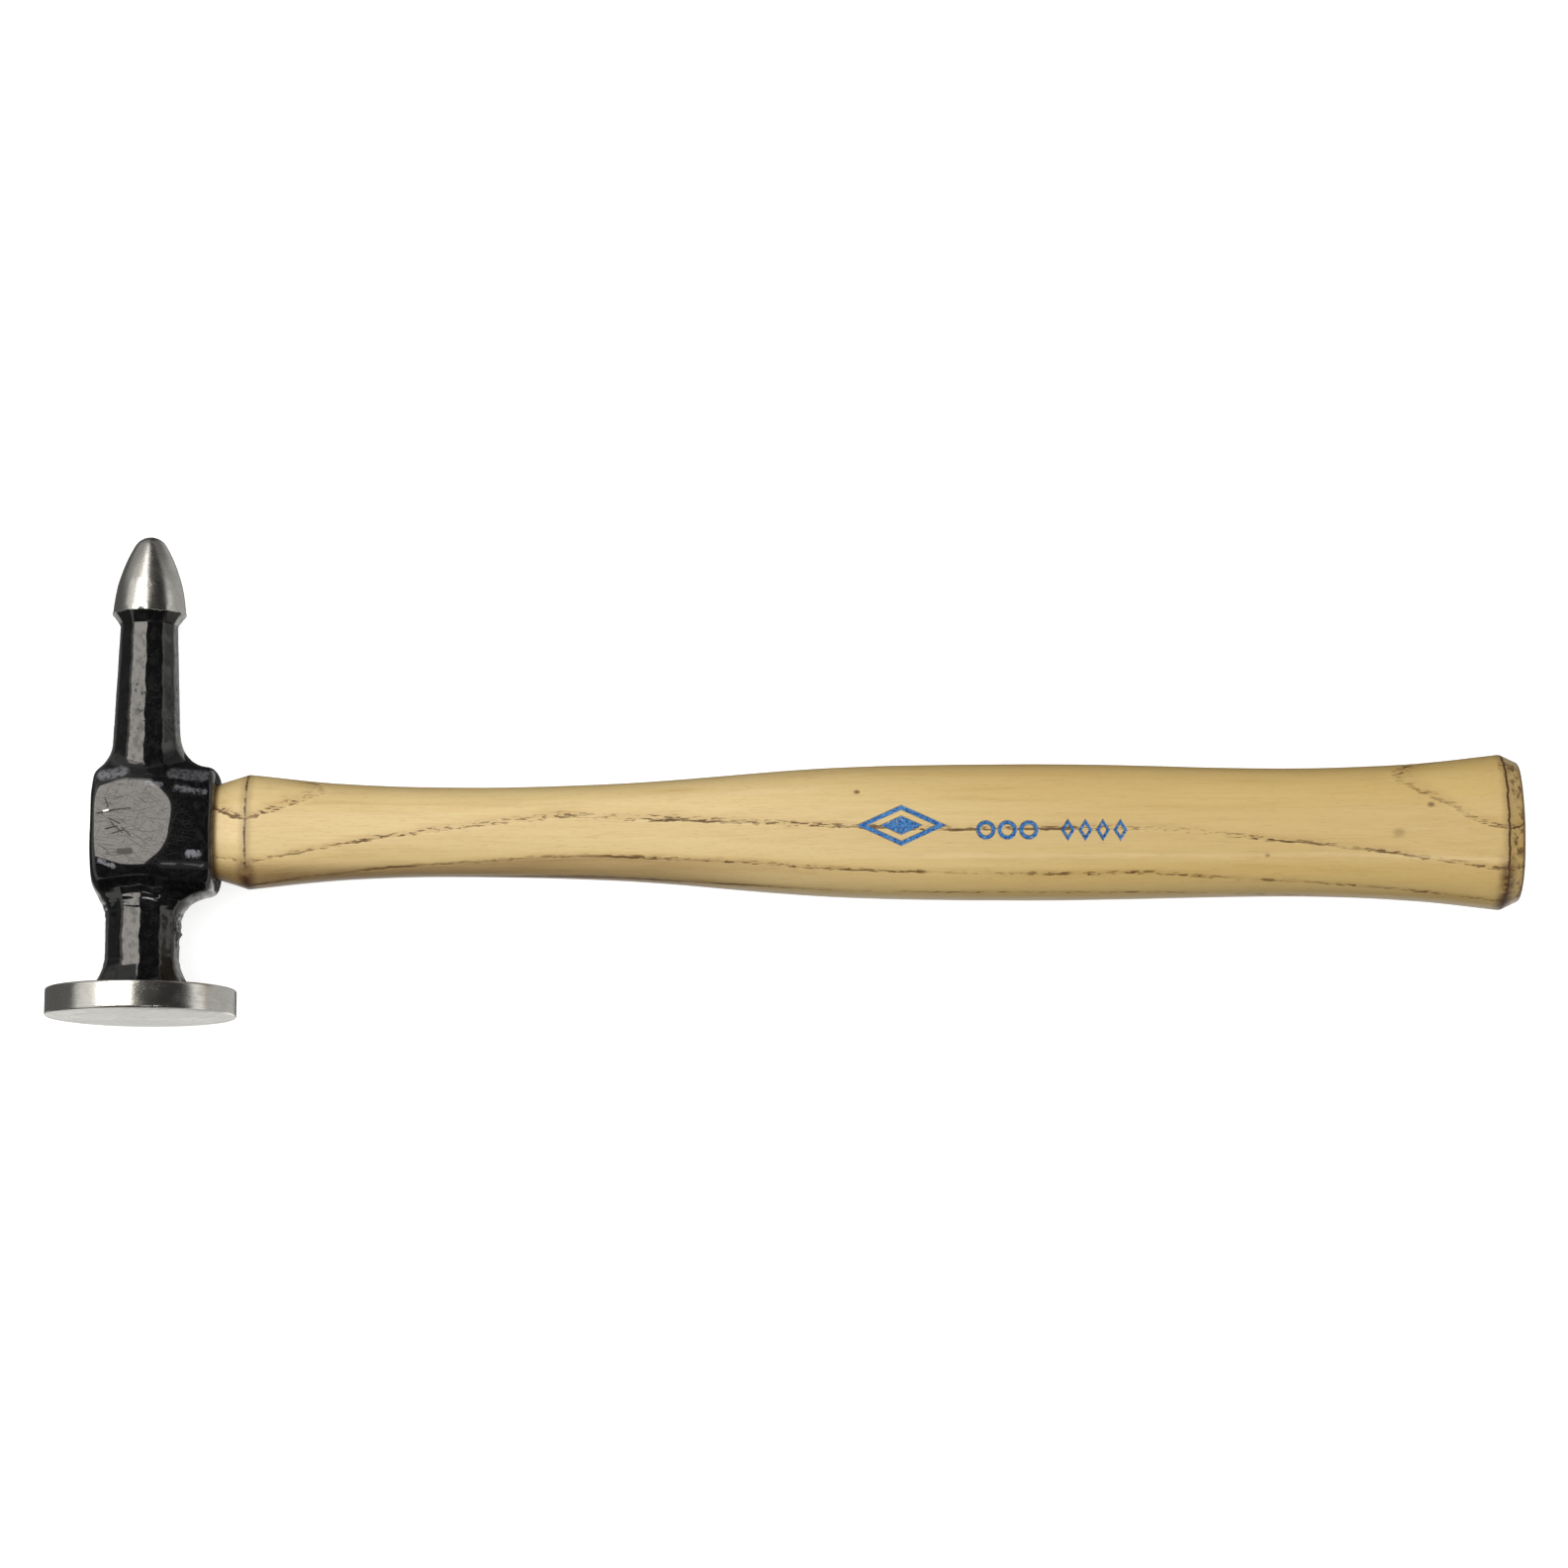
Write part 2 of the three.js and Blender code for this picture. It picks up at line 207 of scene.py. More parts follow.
class Paint:
    def __init__(self, name):
        self.material = bpy.data.materials.new(name)
        self.begin(self.material)
        place = self.node("ShaderNodeTexCoord", output="Object")
        centred = self.vector("SUBTRACT", place, eyeCentre)
        self.x, self.y, self.z = (
            self.vector("DOT_PRODUCT", centred, axis / mm, "Value")
            for axis in (alongHandle, alongHead, outOfCheek)
        )

    def begin(self, owner):
        owner.use_nodes = True
        self.tree = owner.node_tree
        self.tree.nodes.clear()

    def vector(self, operation, a, b, output=0):
        return self.node("ShaderNodeVectorMath", {"operation": operation}, {0: a, 1: b}, output)

    def node(self, kind, settings=None, values=None, output=0):
        made = self.tree.nodes.new(kind)
        for key, value in (settings or {}).items():
            setattr(made, key, value)
        for key, value in (values or {}).items():
            if isinstance(value, Wire):
                self.tree.links.new(value.socket, made.inputs[key])
            else:
                made.inputs[key].default_value = value
        return Wire(self, made.outputs[output]) if made.outputs else None

    # Noise about 0.5, with its grain in millimetres along each of three directions.
    def noise(self, grain, detail=2.0, rough=0.5, shift=0.0, place=None):
        if isinstance(grain, (int, float)):
            grain = (grain, grain, grain)
        where = place or (self.x, self.y, self.z)
        parts = {i: wire * (1 / size) + shift for i, (wire, size) in enumerate(zip(where, grain))}
        values = {
            "Vector": self.node("ShaderNodeCombineXYZ", None, parts),
            "Scale": 1.0,
            "Detail": detail,
            "Roughness": rough,
        }
        return self.node("ShaderNodeTexNoise", None, values)

    # 1 on a straight stroke between two places seen from above, 0 away from it.
    def stroke(self, start, end, width, wander=0.0):
        length = math.dist(start, end)
        cosine = (end[0] - start[0]) / length
        sine = (end[1] - start[1]) / length
        x = self.x - start[0]
        y = self.y - start[1]
        along = x * cosine + y * sine
        across = y * cosine - x * sine + wander
        beyond = (abs(along - length / 2) - length / 2).most(0.0)
        away = (across * across + beyond * beyond) ** 0.5
        return away.step(width * 0.85, width * 0.4)

    # Short straight scratches lying one way across the cheeks.
    def scratches(self, turn, length, width, few):
        cosine = math.cos(math.radians(turn))
        sine = math.sin(math.radians(turn))
        along = self.x * cosine + self.y * sine
        across = self.y * cosine - self.x * sine
        field = self.noise((length, width, 60.0), 1.0, 0.5, turn, (along, across, self.z))
        return field.step(few, few + 0.05)

    def bump(self, height, depth, under=None):
        values = {"Height": height, "Distance": depth * mm, "Strength": 1.0}
        if under is not None:
            values["Normal"] = under
        return self.node("ShaderNodeBump", None, values)

    def finish(self, values):
        shader = self.node("ShaderNodeBsdfPrincipled", None, values)
        self.node("ShaderNodeOutputMaterial", None, {"Surface": shader})
        return self.material


def colour(red, green, blue):
    return (red, green, blue, 1.0)


# The camera looks straight down, from a place measured from the middle of the eye.
view = {
    "sensor": 36.0,
    "lens": 90.8517,
    "shiftUp": 0.029905,  # share of the picture
    "heightAboveFloor": 834.5,
    "alongHandle": 132.5,
    "alongHead": 0.3,
    "nearest": 0.01,  # metres
}


def makeCamera():
    data = bpy.data.cameras.new("camera")
    data.sensor_width = view["sensor"]
    data.lens = view["lens"]
    data.shift_y = view["shiftUp"]
    data.clip_start = view["nearest"]
    camera = bpy.data.objects.new("camera", data)
    camera.location = (
        eyeCentre.x + view["alongHandle"] * mm,
        eyeCentre.y + view["alongHead"] * mm,
        view["heightAboveFloor"] * mm,
    )
    bpy.context.scene.collection.objects.link(camera)
    bpy.context.scene.camera = camera
    bpy.context.scene.view_settings.view_transform = "Standard"


studio = {
    "floorSide": 16.0,
    "floorColour": colour(0.45, 0.45, 0.447),
    "floorGlow": colour(0.7, 0.7, 0.7),
    "floorRoughness": 0.7,
    "roomColour": colour(1.0, 0.985, 0.95),
    "backdrop": colour(0.9, 0.9, 0.9),
}

# What polished surfaces see round the softboxes: how bright the room is in directions turned
# from straight up towards the butt by these angles, and towards the face or the point.
room = {
    "dark": 0.03,
    "fade": 5.0,  # degrees over which each stretch sets in
    # Towards the point they fade between the first two, down to a share.
    "endOn": (0.8, 0.45, 0.3),
    "wallEndOn": (0.8, 0.5, 0.25),
    "outerWall": (-80, -41, 0.95),
    "outerFloor": (-175, -84, 0.10),
    "buttSide": (68, 168, 0.58),
    "buttGlow": (72, 94, 0.55),
    "overheadEnd": (-42, -6, 3.2),
    "pointSide": 0.35,
    "faceSideFloor": 0.8,
}

# Each light's middle is measured from the middle of the eye, in metres, and it faces the
# place under "facing". Radiance is how bright its surface is.
softLights = {
    "overhead": {
        "middle": (-0.293, 0.40, 0.6),
        "size": (0.495, 0.92),
        "facing": (-0.293, 0.40, 0.0),
        "radiance": 4.4,
        "colour": (1.0, 0.955, 0.88),
        "seen": "glossy",
    },
    "key": {
        "middle": (0.05, 0.14, 0.6),
        "size": (0.9, 0.7),
        "facing": (0.05, 0.05, 0.0),
        "radiance": 1.9,
        "seen": "diffuse",
    },
    "handleStrip": {
        "middle": (0.25, -0.25, 0.69),
        "size": (0.2, 0.08),
        "facing": (0.2, 0.0, 0.0),
        "radiance": 6.0,
        "seen": "glossy",
    },
    "fill": {
        "middle": (0.0, 0.2, 2.2),
        "size": (4.0, 4.0),
        "facing": (0.0, 0.0, 0.0),
        "radiance": 1.0,
        "seen": "diffuse",
    },
}


class Room(Paint):
    def __init__(self, world):
        self.begin(world)
        way = self.node("ShaderNodeTexCoord", output="Generated")
        self.x, self.y, self.z = (
            self.vector("DOT_PRODUCT", way, axis, "Value")
            for axis in (Vector((1, 0, 0)), Vector((0, 1, 0)), Vector((0, 0, 1)))
        )

    def finish(self, brightness):
        shown = self.node("ShaderNodeLightPath", output="Is Camera Ray")
        lit = self.vector("MULTIPLY", brightness, studio["roomColour"][:3])
        tone = shown.colours(lit, studio["backdrop"])
        back = self.node("ShaderNodeBackground", None, {"Color": tone, "Strength": 1.0})
        self.node("ShaderNodeOutputWorld", None, {"Surface": back})


def makeRoom():
    world = bpy.data.worlds.new("room")
    paint = Room(world)
    turn = paint.x.maths("ARCTAN2", paint.z) * (180 / math.pi)
    brightness = room["dark"]
    stretches = {"outerFloor": "endOn", "buttSide": "endOn", "buttGlow": "endOn", "outerWall": "wallEndOn"}
    for name, end in stretches.items():
        low, high, level = room[name]
        gone, whole, left = room[end]
        level = (paint.y.step(gone, whole) * (1 - left) + left) * level
        brightness = turn.between(low, high, room["fade"]) * level + brightness
    low, high, level = room["overheadEnd"]
    far = paint.y.between(0.8, 0.98, 0.05) * paint.z.step(0.0, 0.1)
    brightness = turn.between(low, high, room["fade"]) * far * level + brightness
    level = paint.y.step(0.35, 0.6) * abs(paint.z).step(0.6, 0.3) * paint.x.step(0.0, -0.2)
    brightness = level * room["pointSide"] + brightness
    level = paint.y.step(-0.12, -0.25) * paint.z.step(-0.5, -0.8)
    paint.finish(level * room["faceSideFloor"] + brightness)
    bpy.context.scene.world = world


def makeFloor():
    half = studio["floorSide"] / 2
    mesh = bpy.data.meshes.new("floor")
    corners = [(-half, -half, 0.0), (half, -half, 0.0), (half, half, 0.0), (-half, half, 0.0)]
    mesh.from_pydata(corners, [], [(0, 1, 2, 3)])
    floor = bpy.data.objects.new("floor", mesh)
    bpy.context.scene.collection.objects.link(floor)
    surface = {
        "Base Color": studio["floorColour"],
        "Roughness": studio["floorRoughness"],
        "Emission Color": studio["floorGlow"],
        "Emission Strength": 1.0,
    }
    mesh.materials.append(Paint("pale_floor").finish(surface))
    floor.visible_glossy = False
    floor.visible_diffuse = False


def makeLights():
    for name, light in softLights.items():
        data = bpy.data.lights.new(name, "AREA")
        data.shape = "RECTANGLE"
        data.size, data.size_y = light["size"]
        data.color = light.get("colour", (1.0, 1.0, 1.0))
        data.energy = 4 * light["radiance"] * data.size * data.size_y
        lamp = bpy.data.objects.new(name, data)
        lamp.location = eyeCentre + Vector(light["middle"])
        towards = Vector(light["facing"]) - Vector(light["middle"])
        lamp.rotation_euler = towards.to_track_quat("-Z", "Y").to_euler()
        lamp.visible_camera = False
        lamp.visible_glossy = light["seen"] == "glossy"
        lamp.visible_diffuse = light["seen"] == "diffuse"
        bpy.context.scene.collection.objects.link(lamp)


makeCamera()
makeFloor()
makeRoom()
makeLights()
print("camera, floor and lights ready")


head = {
    "segments": 240,
    "faceRadius": 39.1 / 2,
    "faceThickness": 6.0,
    "faceFlatRadius": 15.0,
    "faceCrown": 0.3,
    "faceEdge": 0.5,
    "neckRadius": 7.4,
    "flareLength": 7.2,
    "flareRise": 2.8,
    "shankRadius": 5.8,
    "shankTaper": 0.04,
    "flats": 6,  # pairs of flats round the rod
    "flatTurn": -10.5,  # degrees from the cheek's direction towards the outer side
    "cornerHardness": 70,
    "flatWaver": 0.022,
    "pointRadius": 7.5,
    "pointToEye": 62.4,
    "landLength": 0.9,
    "tipRadius": 3.8,
    "sideRadius": 34.0,
    "sideLean": 0.08,
    "collarLength": 2.5,
    "collarCurve": 1.3,
    "blockHeight": 26.2,
    "blockThickness": 24.0,
    "crownShift": -0.8,
    "crownCurve": 0.0149,
    "crownReach": 6.5,
    "blockSquareness": 3.3,
    "handleSide": 15.1,
    "outerSide": 9.8,
    "blockEdge": 1.9,
    "cheekEdge": 0.3,
    "cheekLean": 0.025,
    "outerFillet": 5.5,
    "handleFillet": 9.5,
    "filletNarrowing": 0.7,
    "reground": (6.4, 1.3, 0.05),  # how far past the collar, how wide and how high
}

# What the forging, grinding and painting left on the black part, in millimetres.
forging = {
    "lump": 0.13,
    "smallLump": 0.05,
    "paintLump": 0.022,
    "neckTopRipple": 0.075,
    "neckFootRipple": 0.04,
    "shankLine": (9.4, 0.22, 0.09),  # how far above the block, how wide and how deep
    "blob": (11.6, 2.6, 0.3, 0.9),  # how far above the face's back, size, height and raggedness
    "groundAway": 0.7,
}

faceY = -faceToEye
faceBackY = faceY + head["faceThickness"]


# Where the bullet's side arc and tip ball are centred, past the end of its land.
def bulletCentres():
    lean = math.atan(head["sideLean"])
    sideAlong = -head["sideRadius"] * math.sin(lean)
    sideOut = head["pointRadius"] - head["sideRadius"] * math.cos(lean)
    reach = head["sideRadius"] - head["tipRadius"]
    return sideAlong, sideOut, sideAlong + math.sqrt(reach ** 2 - sideOut ** 2)


sideAlong, sideOut, tipAlong = bulletCentres()
pointBaseY = head["pointToEye"] - head["landLength"] - tipAlong - head["tipRadius"]
shankTopY = pointBaseY - head["collarLength"]


def rodRadius(y):
    flare = np.maximum(1 - (y - faceBackY) / head["flareLength"], 0)
    neck = head["neckRadius"] + head["flareRise"] * flare ** 2
    collar = np.clip(1 - (pointBaseY - y) / head["collarLength"], 0, 1)
    shank = head["shankRadius"] + head["shankTaper"] * np.maximum(shankTopY - y, 0)
    rod = shank + (head["pointRadius"] - shank) * collar ** head["collarCurve"]
    return np.where(y < 0, neck, rod)


def rodField(x, y, z):
    radius = np.hypot(x, z)
    waver = head["flatWaver"] * (np.sin(0.8 * y + 1) + 0.6 * np.sin(1.9 * y) + 0.4 * np.sin(4.1 * y))
    total = np.zeros_like(radius)
    for flat in range(head["flats"]):
        turn = math.pi * (flat / head["flats"] - head["flatTurn"] / 180) + waver
        across = np.abs(x * np.cos(turn) + z * np.sin(turn)) / radius
        total += across ** head["cornerHardness"]
    return radius * total ** (1 / head["cornerHardness"]) - rodRadius(y)


def blockField(x, y, z):
    away = np.abs(x - head["crownShift"])
    near = np.minimum(away, head["crownReach"])
    crown = head["crownCurve"] * near * (2 * away - near)
    halfThickness = head["blockThickness"] / 2 - crown
    power = head["blockSquareness"]
    oval = np.abs(2 * y / head["blockHeight"]) ** power + np.abs(z / halfThickness) ** power
    return (oval ** (1 / power) - 1) * head["blockHeight"] / 2


def forgingField(x, y, z):
    across = np.clip((x + head["outerSide"]) / (head["handleSide"] + head["outerSide"]), 0, 1)
    fillet = head["outerFillet"] + (head["handleFillet"] - head["outerFillet"]) * across
    fillet = fillet * (1 - head["filletNarrowing"] * z ** 2 / (x ** 2 + z ** 2))
    joined = filletedMin(rodField(x, y, z), blockField(x, y, z), fillet)
    ends = np.maximum(x - head["handleSide"], -head["outerSide"] - x)
    faced = roundedMax(joined, ends, head["blockEdge"])
    faced = np.where(np.abs(y) < head["blockHeight"], faced, joined)
    lean = np.where(z > 0, head["cheekLean"] * y, 0)
    return roundedMax(faced, np.abs(z) + lean - cheekToEye, head["cheekEdge"])


def bulletRadius(along):
    touch = sideAlong + (tipAlong - sideAlong) * head["sideRadius"] / (
        head["sideRadius"] - head["tipRadius"]
    )
    side = sideOut + np.sqrt(head["sideRadius"] ** 2 - (along - sideAlong) ** 2)
    ball = np.sqrt(np.maximum(head["tipRadius"] ** 2 - (along - tipAlong) ** 2, 0))
    return np.where(along < touch, side, ball)


# The forging's radius along rays from the head's axis, at each station and angle.
def forgedRadii(stations, angles):
    y = stations[:, None] + 0 * angles[None, :]
    cosine, sine = np.cos(angles)[None, :], np.sin(angles)[None, :]
    low = np.full(y.shape, 1.0)
    high = np.full(y.shape, head["handleSide"] + head["blockThickness"])
    for _ in range(30):
        middle = (low + high) / 2
        outside = forgingField(middle * cosine, y, -middle * sine) > 0
        high = np.where(outside, middle, high)
        low = np.where(outside, low, middle)
    return (low + high) / 2


# Uneven forging and paint on the black part: soft lumps all over, ripples on the neck's and
# shank's ends, a thin line across the shank and a blob of paint on the neck.
def forgingUnevenness(points):
    x, y, z = points[..., 0], points[..., 1], points[..., 2]
    top = head["blockHeight"] / 2
    onBlock = np.clip((top + 7 - np.abs(y)) / 7, 0, 1)
    height = forging["lump"] * (0.25 + 0.75 * onBlock) * lumps(points, 7.0, 1)
    height += forging["smallLump"] * onBlock * lumps(points, 3.0, 8)
    height += forging["paintLump"] * lumps(points, 2.2, 2)
    neckTop = hill(y + top + 3.1, 2.9) * np.sin((y + top) * 3.9 + 2 * lumps(points, 4.0, 12))
    neckFoot = hill(y - faceBackY - 5.8, 2.2) * np.sin(y * 3.6)
    height += forging["neckTopRipple"] * neckTop + forging["neckFootRipple"] * neckFoot
    above, width, depth = forging["shankLine"]
    height -= depth * hill(y - top - above, width)
    above, size, thickness, raggedness = forging["blob"]
    blob = np.array((head["neckRadius"], faceBackY + above, 1.0))
    near = hill(np.linalg.norm(points - blob, axis=-1), size)
    height += near * (thickness + raggedness * lumps(points, 1.2, 3))
    # The cheeks were ground flat after forging.
    ground = np.clip((np.abs(z) + head["cheekLean"] * y - cheekToEye) / 0.3 + 1.3, 0, 1)
    return height * (1 - forging["groundAway"] * ground)


def headRings():
    angles = np.arange(head["segments"]) * 2 * math.pi / head["segments"]
    rim = head["faceRadius"] - head["faceEdge"]
    quarter = spread(0, math.pi / 2, 5)
    flat = spread(0.4, head["faceFlatRadius"], 6)
    crown = spread(head["faceFlatRadius"], rim, 6)[1:]
    fall = head["faceCrown"] * ((crown - crown[0]) / (rim - crown[0])) ** 2
    frontY = faceY + head["faceCrown"] + head["faceEdge"] * (1 - np.cos(quarter[1:]))
    backY = faceBackY - head["faceEdge"] * (1 - np.sin(quarter))
    rimY = spread(frontY[-1], backY[0], 6)[1:-1]
    profile = [
        (np.full(flat.shape, faceY), flat),
        (faceY + fall, crown),
        (frontY, rim + head["faceEdge"] * np.sin(quarter[1:])),
        (rimY, np.full(rimY.shape, head["faceRadius"])),
        (backY, rim + head["faceEdge"] * np.cos(quarter)),
    ]
    discY = np.concatenate([part[0] for part in profile])
    discRadius = np.concatenate([part[1] for part in profile])[:, None] + 0 * angles

    top = head["blockHeight"] / 2
    shoulder = top + head["handleFillet"]
    stations = np.concatenate([
        spread(faceBackY, -shoulder, 38),
        spread(-shoulder, -top, 46, "end")[1:],
        spread(-top, top, 104, "both")[1:],
        spread(top, shoulder, 46, "start")[1:],
        spread(shoulder, shankTopY, 48)[1:],
        spread(shankTopY, pointBaseY, 12)[1:],
    ])
    forged = forgedRadii(stations, angles)
    share = spread(0, 1, 8)[1:-1, None]
    back = rim + (forged[:1] - rim) * share

    side = spread(0, tipAlong, 34)
    turns = spread(0, 0.49 * math.pi, 13)[1:]
    along = np.concatenate([side, tipAlong + head["tipRadius"] * np.sin(turns)])
    bulletY = pointBaseY + head["landLength"] + along
    # A faint shoulder where the lower part of the bullet was ground again.
    past, width, step = head["reground"]
    reground = step * hill(bulletY - pointBaseY - past, width)
    bullet = (bulletRadius(along) + reground)[:, None] + 0 * angles

    y = np.concatenate([discY, np.full(len(share), faceBackY), stations, bulletY])
    radius = np.concatenate([discRadius, back, forged, bullet])
    return ringPoints(y, radius, angles), len(discY) + len(share), len(stations)


def ringPoints(y, radius, angles):
    across = radius * np.cos(angles)[None, :]
    up = -radius * np.sin(angles)[None, :]
    return np.stack([across, y[:, None] + 0 * across, up], axis=-1)


handle = {
    "around": 160,
    "mouthHeight": 19.6,
    "mouthThickness": 14.4,
    "ridgeToMouth": 6.7,
    "ridgeToRidge": 259.1,
    "squareness": 2.25,
    "chamferDepth": 1.7,
    "ridgeSoftness": 0.22,
    "endRound": 0.3,
    "longWave": 0.10,
    "shortWave": 0.03,
    "ridgeWander": 0.45,
    # Share of the way from ridge to ridge, height and thickness.
    "sections": (
        (0.0, 23.8, 17.6),
        (0.07, 20.1, 16.2),
        (0.155, 18.6, 15.6),
        (0.298, 20.2, 16.8),
        (0.464, 26.7, 20.4),
        (0.626, 28.3, 21.6),
        (0.842, 26.6, 20.6),
        (0.935, 28.6, 22.0),
        (1.0, 32.3, 24.6),
    ),
}

# The eye, and how the tenon and its wedges fill it.
eye = {
    "waistNarrowing": 0.4,
    "outerWidening": 0.5,
    "clearance": 0.3,
    "recess": 0.4,
    "kerfDepth": 20.0,
    "kerfOutside": 3.8,
    "kerfInside": 1.7,
    "woodWedgeLength": 17.0,
    "steelWedges": 2,
    "steelWedgeLength": 9.0,
    "steelWedgeWidth": 8.0,
    "steelWedgeThickness": 2.0,
    "steelWedgeEdge": 0.6,
    "steelWedgeSpacing": 8.4,
    "steelWedgeBevel": (0.9, 0.3, 0.35),  # at the corner, below it, and how long it is
    "steelWedgeMushroom": 0.12,
    "steelWedgeCorner": 0.35,
}

frontRidgeX = head["handleSide"] + handle["ridgeToMouth"]
buttRidgeX = frontRidgeX + handle["ridgeToRidge"]
tenonEnd = -head["outerSide"] + eye["recess"]


def ovalRings(x, halfHeight, halfThickness, around):
    angles = np.arange(around) * 2 * math.pi / around
    power = 2 / handle["squareness"]
    cosine, sine = np.cos(angles), np.sin(angles)
    y = halfHeight[:, None] * np.sign(cosine) * np.abs(cosine) ** power
    z = halfThickness[:, None] * np.sign(sine) * np.abs(sine) ** power
    return np.stack([x[:, None] + 0 * y, y, z], axis=-1)


def eyeWidening(x):
    middle = (head["handleSide"] - head["outerSide"]) / 2
    share = (x - middle) / (head["handleSide"] - middle)
    outer = eye["waistNarrowing"] + eye["outerWidening"]
    return np.where(share < 0, outer, eye["waistNarrowing"]) * share ** 2 - eye["waistNarrowing"]


def tenonRings(x, grow, around=64):
    wider = eyeWidening(np.clip(x, -head["outerSide"], head["handleSide"])) + grow
    return ovalRings(
        x, handle["mouthHeight"] / 2 + wider, handle["mouthThickness"] / 2 + wider, around
    )


# A centripetal Catmull-Rom curve through the handle's sections.
def fairCurve(points, steps):
    points = [2 * points[0] - points[1], *points, 2 * points[-1] - points[-2]]
    share = spread(0, 1, steps)[:-1, None]
    parts = []
    for before, start, end, after in zip(points, points[1:], points[2:], points[3:]):
        gaps = [np.linalg.norm(b - a) ** 0.5 for a, b in ((before, start), (start, end), (end, after))]
        leave = (start - before) / gaps[0] - (end - before) / (gaps[0] + gaps[1])
        arrive = (end - start) / gaps[1] - (after - start) / (gaps[1] + gaps[2])
        leave = (leave + (end - start) / gaps[1]) * gaps[1]
        arrive = (arrive + (after - end) / gaps[2]) * gaps[1]
        squared = 3 * (end - start) - 2 * leave - arrive
        cubed = 2 * (start - end) + leave + arrive
        parts.append(start + share * (leave + share * (squared + share * cubed)))
    return np.concatenate([*parts, points[-2][None, :]])


# Half height and half thickness at any place along the handle, with its ridges softened.
def handleProfile():
    sections = [
        np.array((frontRidgeX + share * handle["ridgeToRidge"], height / 2, thickness / 2))
        for share, height, thickness in handle["sections"]
    ]
    tenonX = spread(tenonEnd, head["handleSide"], 24)
    wider = eyeWidening(tenonX)
    tenon = np.stack(
        [tenonX, handle["mouthHeight"] / 2 + wider, handle["mouthThickness"] / 2 + wider], axis=-1
    )
    end = np.array((buttToEye, *(sections[-1][1:] - handle["chamferDepth"])))
    knots = np.concatenate([tenon, fairCurve(sections, 40), end[None, :]])
    fine = np.arange(tenonEnd, buttToEye, 0.05)
    reach = np.arange(-20, 21) * 0.05
    weights = hill(reach, handle["ridgeSoftness"] * math.sqrt(2))
    weights /= weights.sum()
    sizes = []
    for column in (1, 2):
        size = np.interp(fine, knots[:, 0], knots[:, column])
        sizes.append(np.convolve(np.pad(size, 20, mode="edge"), weights, mode="valid"))
    return fine, sizes[0], sizes[1]


def handleRings():
    fine, halfHeight, halfThickness = handleProfile()
    stations = np.concatenate([
        spread(tenonEnd, head["handleSide"] - 0.5, 20),
        spread(head["handleSide"] - 0.5, frontRidgeX - 1, 16)[1:],
        spread(frontRidgeX - 1, frontRidgeX + 1, 14)[1:],
        spread(frontRidgeX + 1, buttRidgeX - 1, 460)[1:],
        spread(buttRidgeX - 1, buttRidgeX + 1, 14)[1:],
        spread(buttRidgeX + 1, buttToEye - handle["endRound"], 8)[1:],
    ])
    # The last edge is broken by a small round, and the end is closed towards its middle.
    size = handle["endRound"]
    turn = spread(0, math.pi / 2, 4)[1:]
    closing = spread(1, 0.06, 8)[1:]
    x = np.concatenate([stations, buttToEye - size + size * np.sin(turn), 0 * closing + buttToEye])
    shrink = np.concatenate([0 * stations, size * (1 - np.cos(turn)), 0 * closing + size])
    tall = np.interp(x, fine, halfHeight) - shrink
    thick = np.interp(x, fine, halfThickness) - shrink
    tall[-len(closing):] *= closing
    thick[-len(closing):] *= closing
    rings = ovalRings(x, tall, thick, handle["around"])

    along, y, z = rings[..., 0], rings[..., 1], rings[..., 2]
    free = np.clip((along - head["handleSide"] - 1) / 4, 0, 1) * np.clip((buttToEye - along) / 2, 0, 1)
    out = np.stack([0 * y, y, z * 1.6], axis=-1)
    out /= np.linalg.norm(out, axis=-1, keepdims=True)
    uneven = handle["longWave"] * lumps(rings, (38.0, 9.0, 9.0), 4)
    uneven = uneven + handle["shortWave"] * lumps(rings, (9.0, 3.0, 3.0), 5)
    waviness = lumps(rings, (60.0, 6.0, 6.0), 6)
    nearRidge = hill(along - frontRidgeX, 2.5) + hill(along - buttRidgeX, 2.5)
    rings = rings + out * (free * uneven)[..., None]
    rings[..., 0] += handle["ridgeWander"] * nearRidge * waviness
    return rings


# A block along X that narrows from the tenon's outer end inwards, its width along Y or Z.
def taperedBlock(name, length, outside, inside, span, grow, overrun, widthAlongZ, place=0.0):
    slope = (outside - inside) / 2 / length
    x = np.array((tenonEnd - overrun, tenonEnd + length + grow))
    narrow = np.array((outside / 2 + grow + slope * overrun, inside / 2 + grow))
    wide = span / 2 + grow
    signs = np.array(((-1, -1), (1, -1), (1, 1), (-1, 1)))
    across = signs[None, :, 0] * narrow[:, None]
    along = signs[None, :, 1] * wide + 0 * across
    y, z = (along, across) if widthAlongZ else (across, along)
    return skin(name, np.stack([x[:, None] + 0 * y, y + place, z], axis=-1))


def kerfBlock(length, grow, overrun):
    inside = eye["kerfOutside"] - (eye["kerfOutside"] - eye["kerfInside"]) * length / eye["kerfDepth"]
    span = 2 * head["blockHeight"]
    return taperedBlock("kerf", length, eye["kerfOutside"], inside, span, grow, overrun, True)


def steelWedgePlace(index):
    return (index - 0.5) * eye["steelWedgeSpacing"]


def slotBlocks():
    return [
        taperedBlock(
            "slot", eye["steelWedgeLength"], eye["steelWedgeThickness"], eye["steelWedgeEdge"],
            eye["steelWedgeWidth"], eye["clearance"], 2.0, False, steelWedgePlace(index)
        )
        for index in range(eye["steelWedges"])
    ]


